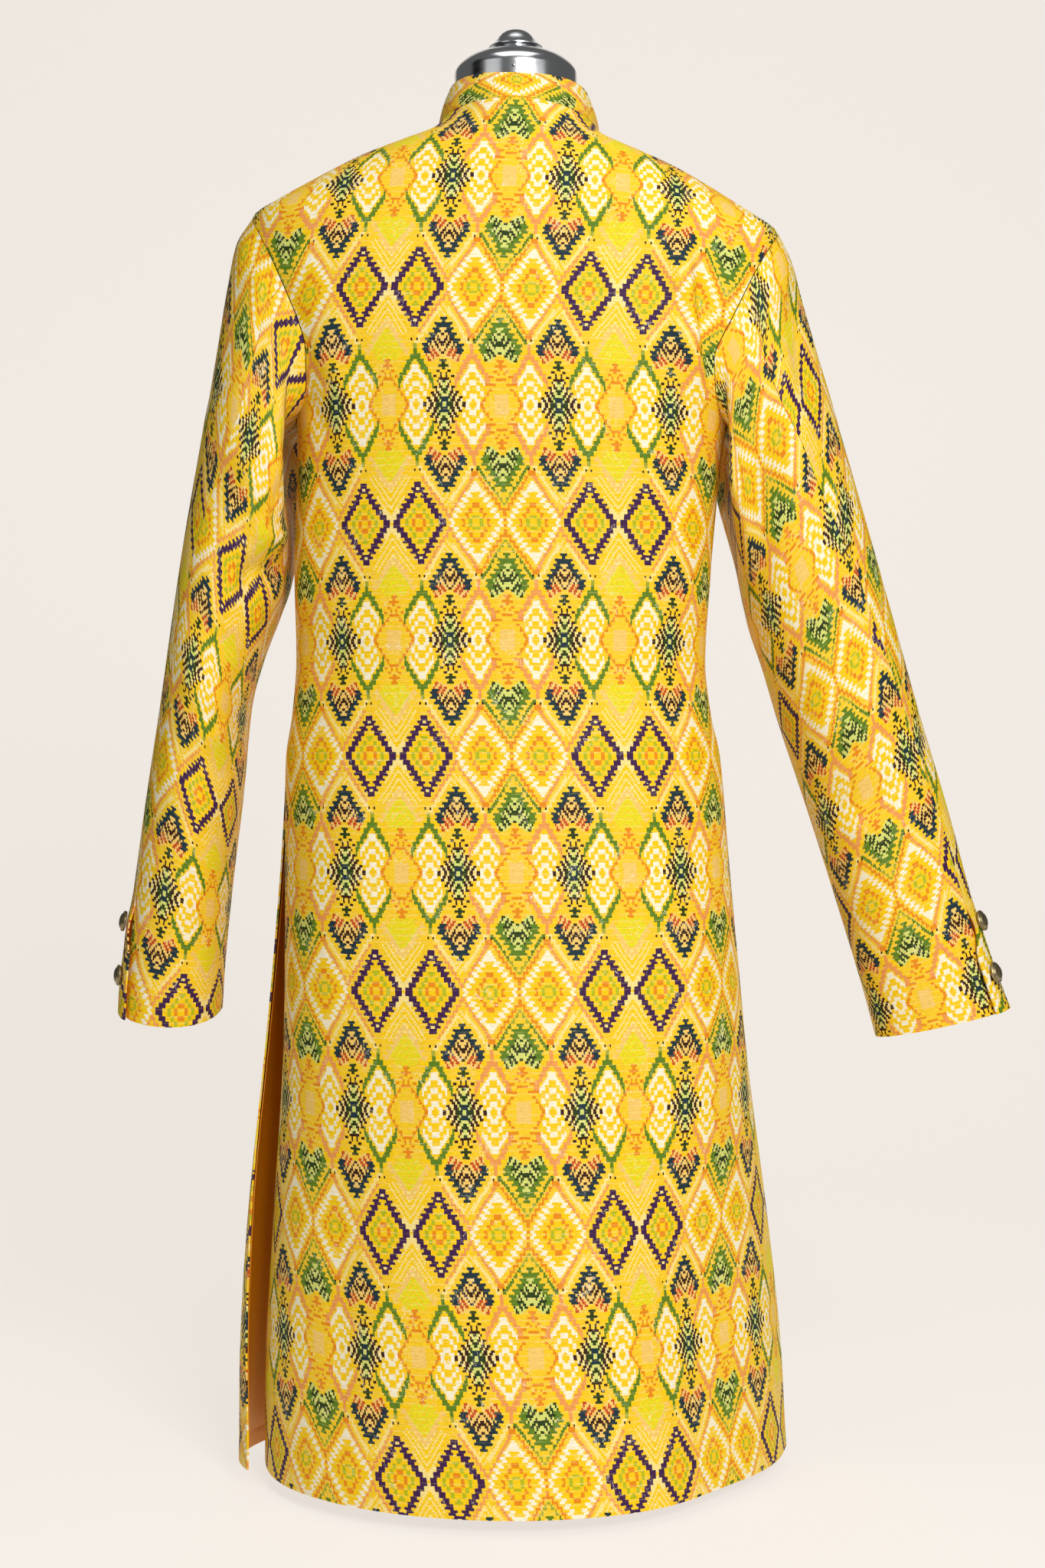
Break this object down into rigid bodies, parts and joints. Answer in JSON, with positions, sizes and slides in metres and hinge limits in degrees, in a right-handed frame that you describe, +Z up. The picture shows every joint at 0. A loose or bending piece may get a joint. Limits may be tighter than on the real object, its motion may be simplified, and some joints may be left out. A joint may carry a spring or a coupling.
{
  "type": "sherwani coat on dress form",
  "caption": "Knee-length printed coat with stand-up collar, two-piece sleeves and side slits, worn by a limbless form on a low round stand.",
  "frame": {"origin": "centre of the underside of the stand's base, on the floor", "axes": "+Z up; the coat's back faces -Y; the wearer's left is at -X"},
  "size_m": [0.725, 0.3469, 1.17],
  "materials": {
    "printed_silk": "printed silk with fine stitched lines",
    "ochre_lining": "satin lining",
    "antique_metal": "darkened",
    "form_jersey": "matt jersey",
    "spun_steel": "polished",
    "stand_steel": "satin"
  },
  "bodies": {
    "root": {"back": "printed_silk", "cap_knob": "spun_steel", "cap_screw": "stand_steel", "collar": "printed_silk", "cuff_button_left_1": "antique_metal", "cuff_button_left_2": "antique_metal", "cuff_button_right_1": "antique_metal", "cuff_button_right_2": "antique_metal", "front_button_1": "antique_metal", "front_button_2": "antique_metal", "front_button_3": "antique_metal", "front_button_4": "antique_metal", "front_button_5": "antique_metal", "front_button_6": "antique_metal", "front_button_7": "antique_metal", "front_left": "printed_silk", "front_lining_left": "ochre_lining", "front_lining_right": "ochre_lining", "front_right": "printed_silk", "neck_cap": "spun_steel", "pole": "spun_steel", "stand_base": "stand_steel", "top_sleeve_left": "printed_silk", "top_sleeve_right": "printed_silk", "torso_form": "form_jersey", "under_sleeve_left": "printed_silk", "under_sleeve_right": "printed_silk"}
  },
  "joints": []
}
